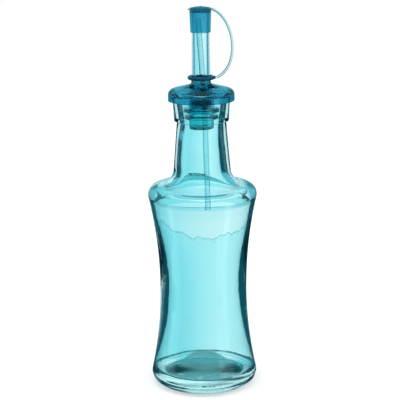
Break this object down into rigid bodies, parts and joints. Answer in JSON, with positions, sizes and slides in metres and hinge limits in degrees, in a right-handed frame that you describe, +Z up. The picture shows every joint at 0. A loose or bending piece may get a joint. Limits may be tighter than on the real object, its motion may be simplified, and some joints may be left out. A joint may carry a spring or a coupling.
{
  "type": "oil cruet",
  "caption": "Waisted round glass cruet with a push-in plastic pourer: domed flange, straight spout, ribbed stopper, air straw, and a push-on spout cap tied by a strap to a loose collar.",
  "frame": {"origin": "centre of the bottle's round foot, on the surface that it stands on", "axes": "+Z up along the bottle's axis, +X towards the side on which the cap's strap bows out"},
  "size_m": [0.0662, 0.0662, 0.2333],
  "materials": {
    "aqua_glass": "smooth thick moulded glass, tinted aqua all through",
    "blue_plastic": "glossy transparent deep blue plastic",
    "clear_plastic": "glossy clear plastic with a pale aqua tint",
    "teal_soft_plastic": "soft translucent teal plastic",
    "straw_plastic": "thin clear plastic tube",
    "deep_blue_plastic": "glossy dark blue plastic",
    "strap_plastic": "nearly colourless flexible plastic",
    "cap_plastic": "glossy transparent dark blue plastic"
  },
  "bodies": {
    "bottle": {"glass_bottle": "aqua_glass"},
    "pourer": {"pourer_flange": "blue_plastic", "spout_tube": "clear_plastic", "ribbed_stopper": "teal_soft_plastic", "breather_straw": "straw_plastic"},
    "tether": {"collar_ring": "deep_blue_plastic", "tether_strap": "strap_plastic"},
    "cap": {"spout_cap": "cap_plastic"}
  },
  "joints": [
    {"name": "pourer_lift", "type": "slide", "parent": "bottle", "child": "pourer", "axis": [0, 0, 1], "range_m": [0, 0.068]},
    {"name": "tether_turn", "type": "hinge", "parent": "pourer", "child": "tether", "pos_m": [0, 0, 0.19105], "axis": [0, 0, 1], "continuous": true},
    {"name": "cap_lift", "type": "slide", "parent": "tether", "child": "cap", "axis": [0, 0, 1], "range_m": [0, 0.0125], "deforming": ["tether_strap"]}
  ]
}
